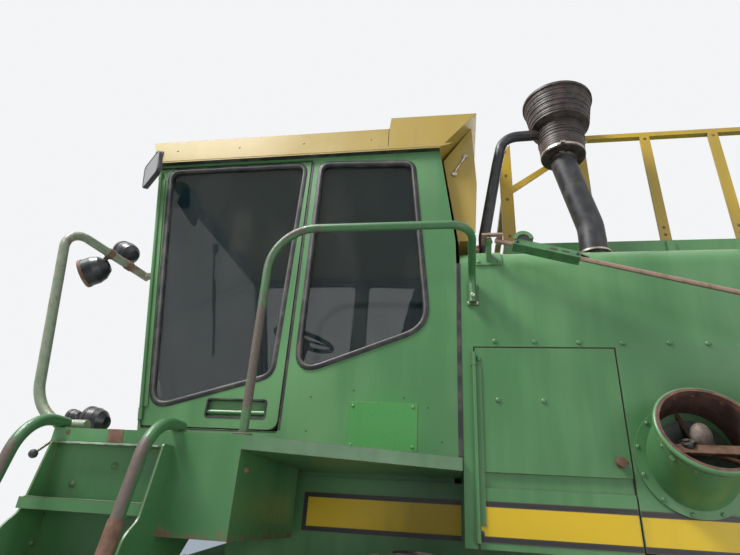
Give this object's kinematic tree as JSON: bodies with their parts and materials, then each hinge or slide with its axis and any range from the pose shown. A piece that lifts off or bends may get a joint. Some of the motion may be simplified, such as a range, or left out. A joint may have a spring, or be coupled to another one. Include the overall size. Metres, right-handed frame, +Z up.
{
  "type": "self-propelled combine harvester",
  "caption": "Green and yellow self-propelled grain combine with enclosed cab, side platform and ladder, grain tank with open frame, folded unloading auger and bare feeder house.",
  "frame": {"origin": "bottom centre of the whole machine's box, on the ground", "axes": "+X forward, +Y the machine's left, +Z up"},
  "size_m": [7.317, 3.5542, 4.03],
  "materials": {
    "green_paint": "faded gloss paint, worn",
    "yellow_paint": "faded gloss paint",
    "rim_paint": "worn gloss paint",
    "black_paint": "satin black",
    "rusty_steel": "paint worn to rust",
    "bare_steel": "plated, lightly rusted",
    "tyre_rubber": "dusty",
    "black_rubber": "matte",
    "tinted_glass": "tinted",
    "seat_cover": "worn vinyl"
  },
  "bodies": {
    "root": {"upper_shield_left": "green_paint", "rear_shield_left": "green_paint", "upper_shield_right": "green_paint", "rear_shield_right": "green_paint", "front_axle": "green_paint", "rear_axle": "green_paint", "frame_rails": "green_paint", "threshing_body": "green_paint", "cleaning_fan": "green_paint", "straw_hood": "green_paint", "elbow_panel": "green_paint", "right_panel": "green_paint", "engine_block": "black_paint", "bay_floor": "green_paint", "radiator_box": "green_paint", "grain_tank": "green_paint", "tank_frame": "yellow_paint", "cab_frame": "green_paint", "cab_roof": "yellow_paint", "cab_glass": "tinted_glass", "operator_seat": "seat_cover", "steering_column": "black_paint", "platform": "green_paint", "ladder": "green_paint", "handrails": "rusty_steel", "grab_rail": "green_paint", "cab_mirror": "black_paint", "work_lamps": "black_paint", "unloading_elbow": "green_paint", "auger_cradle": "green_paint", "stay_bracket": "green_paint", "precleaner": "black_rubber", "exhaust_stack": "rusty_steel", "grain_elevator": "green_paint", "fuel_tank": "black_paint"},
    "front_wheel_left": {"front_tyre_left": "tyre_rubber", "front_rim_left": "rim_paint"},
    "front_wheel_right": {"front_tyre_right": "tyre_rubber", "front_rim_right": "rim_paint"},
    "knuckle_left": {"knuckle_left": "green_paint"},
    "knuckle_right": {"knuckle_right": "green_paint"},
    "rear_wheel_left": {"rear_tyre_left": "tyre_rubber", "rear_rim_left": "rim_paint"},
    "rear_wheel_right": {"rear_tyre_right": "tyre_rubber", "rear_rim_right": "rim_paint"},
    "tie_rod": {"tie_rod": "green_paint"},
    "feeder": {"feeder_house": "green_paint"},
    "lift_barrel_left": {"lift_barrel_left": "green_paint"},
    "lift_barrel_right": {"lift_barrel_right": "green_paint"},
    "lift_rod_left": {"lift_rod_left": "bare_steel"},
    "lift_rod_right": {"lift_rod_right": "bare_steel"},
    "cab_door": {"cab_door": "green_paint", "door_glass": "tinted_glass"},
    "service_door": {"service_door": "green_paint"},
    "radiator_screen": {"radiator_screen": "bare_steel"},
    "unloading_auger": {"auger_tube": "green_paint"},
    "auger_stay": {"auger_stay": "bare_steel"}
  },
  "joints": [
    {"name": "front_wheel_left_spin", "type": "hinge", "parent": "root", "child": "front_wheel_left", "pos_m": [1.3085, 1.11791, 0.8025], "axis": [0, 1, 0], "continuous": true},
    {"name": "steer_left", "type": "hinge", "parent": "root", "child": "knuckle_left", "pos_m": [-2.1215, 0.64791, 0.485], "axis": [0, 0, 1], "range_deg": [-32, 32]},
    {"name": "rear_wheel_left_spin", "type": "hinge", "parent": "knuckle_left", "child": "rear_wheel_left", "pos_m": [-2.1215, 0.87791, 0.485], "axis": [0, 1, 0], "continuous": true},
    {"name": "front_wheel_right_spin", "type": "hinge", "parent": "root", "child": "front_wheel_right", "pos_m": [1.3085, -1.48209, 0.8025], "axis": [0, 1, 0], "continuous": true},
    {"name": "steer_right", "type": "hinge", "parent": "root", "child": "knuckle_right", "pos_m": [-2.1215, -1.01209, 0.485], "axis": [0, 0, 1], "range_deg": [-32, 32]},
    {"name": "rear_wheel_right_spin", "type": "hinge", "parent": "knuckle_right", "child": "rear_wheel_right", "pos_m": [-2.1215, -1.24209, 0.485], "axis": [0, 1, 0], "continuous": true},
    {"name": "tie_rod_pivot", "type": "hinge", "parent": "knuckle_left", "child": "tie_rod", "pos_m": [-2.3315, 0.64791, 0.444], "axis": [0, 0, 1], "range_deg": [-32, 32]},
    {"name": "feeder_lift", "type": "hinge", "parent": "root", "child": "feeder", "pos_m": [2.0685, -0.18209, 1.33], "axis": [0, -1, 0], "range_deg": [-11, 17]},
    {"name": "lift_barrel_left_pivot", "type": "hinge", "parent": "root", "child": "lift_barrel_left", "pos_m": [1.6585, 0.33791, 0.64], "axis": [0, -1, 0], "range_deg": [-5.84, 9.03]},
    {"name": "lift_rod_left_slide", "type": "slide", "parent": "lift_barrel_left", "child": "lift_rod_left", "axis": [0.9944, 0, 0.1054], "range_m": [-0.1221, 0.18869]},
    {"name": "lift_barrel_right_pivot", "type": "hinge", "parent": "root", "child": "lift_barrel_right", "pos_m": [1.6585, -0.70209, 0.64], "axis": [0, -1, 0], "range_deg": [-5.84, 9.03]},
    {"name": "lift_rod_right_slide", "type": "slide", "parent": "lift_barrel_right", "child": "lift_rod_right", "axis": [0.9944, 0, 0.1054], "range_m": [-0.1221, 0.18869]},
    {"name": "cab_door_hinge", "type": "hinge", "parent": "root", "child": "cab_door", "pos_m": [2.62806, 0.88791, 2.041], "axis": [-0.1769, 0, -0.9842], "range_deg": [0, 58]},
    {"name": "service_door_hinge", "type": "hinge", "parent": "root", "child": "service_door", "pos_m": [1.0635, 0.88791, 1.625], "axis": [0, 0, -1], "range_deg": [0, 100]},
    {"name": "radiator_screen_spin", "type": "hinge", "parent": "root", "child": "radiator_screen", "pos_m": [0.4485, -1.30209, 2.3], "axis": [0, 1, 0], "continuous": true},
    {"name": "unloading_auger_swing", "type": "hinge", "parent": "root", "child": "unloading_auger", "pos_m": [0.0135, 1.0782, 2.0834], "axis": [0, 0.4226, -0.9063], "range_deg": [0, 90]},
    {"name": "auger_stay_pivot", "type": "hinge", "parent": "unloading_auger", "child": "auger_stay", "pos_m": [-0.50772, 1.12127, 2.44815], "axis": [0, 0.4226, -0.9063], "range_deg": [-90, 0]}
  ],
  "couplings": [
    {"joint": "steer_right", "follows": "steer_left", "ratio": 1},
    {"joint": "tie_rod_pivot", "follows": "steer_left", "ratio": -1},
    {"joint": "auger_stay_pivot", "follows": "unloading_auger_swing", "ratio": -1},
    {"joint": "lift_barrel_left_pivot", "follows": "feeder_lift", "ratio": 0.52063},
    {"joint": "lift_rod_left_slide", "follows": "feeder_lift", "m_per_rad": 0.62349},
    {"joint": "lift_barrel_right_pivot", "follows": "feeder_lift", "ratio": 0.52063},
    {"joint": "lift_rod_right_slide", "follows": "feeder_lift", "m_per_rad": 0.62349}
  ]
}
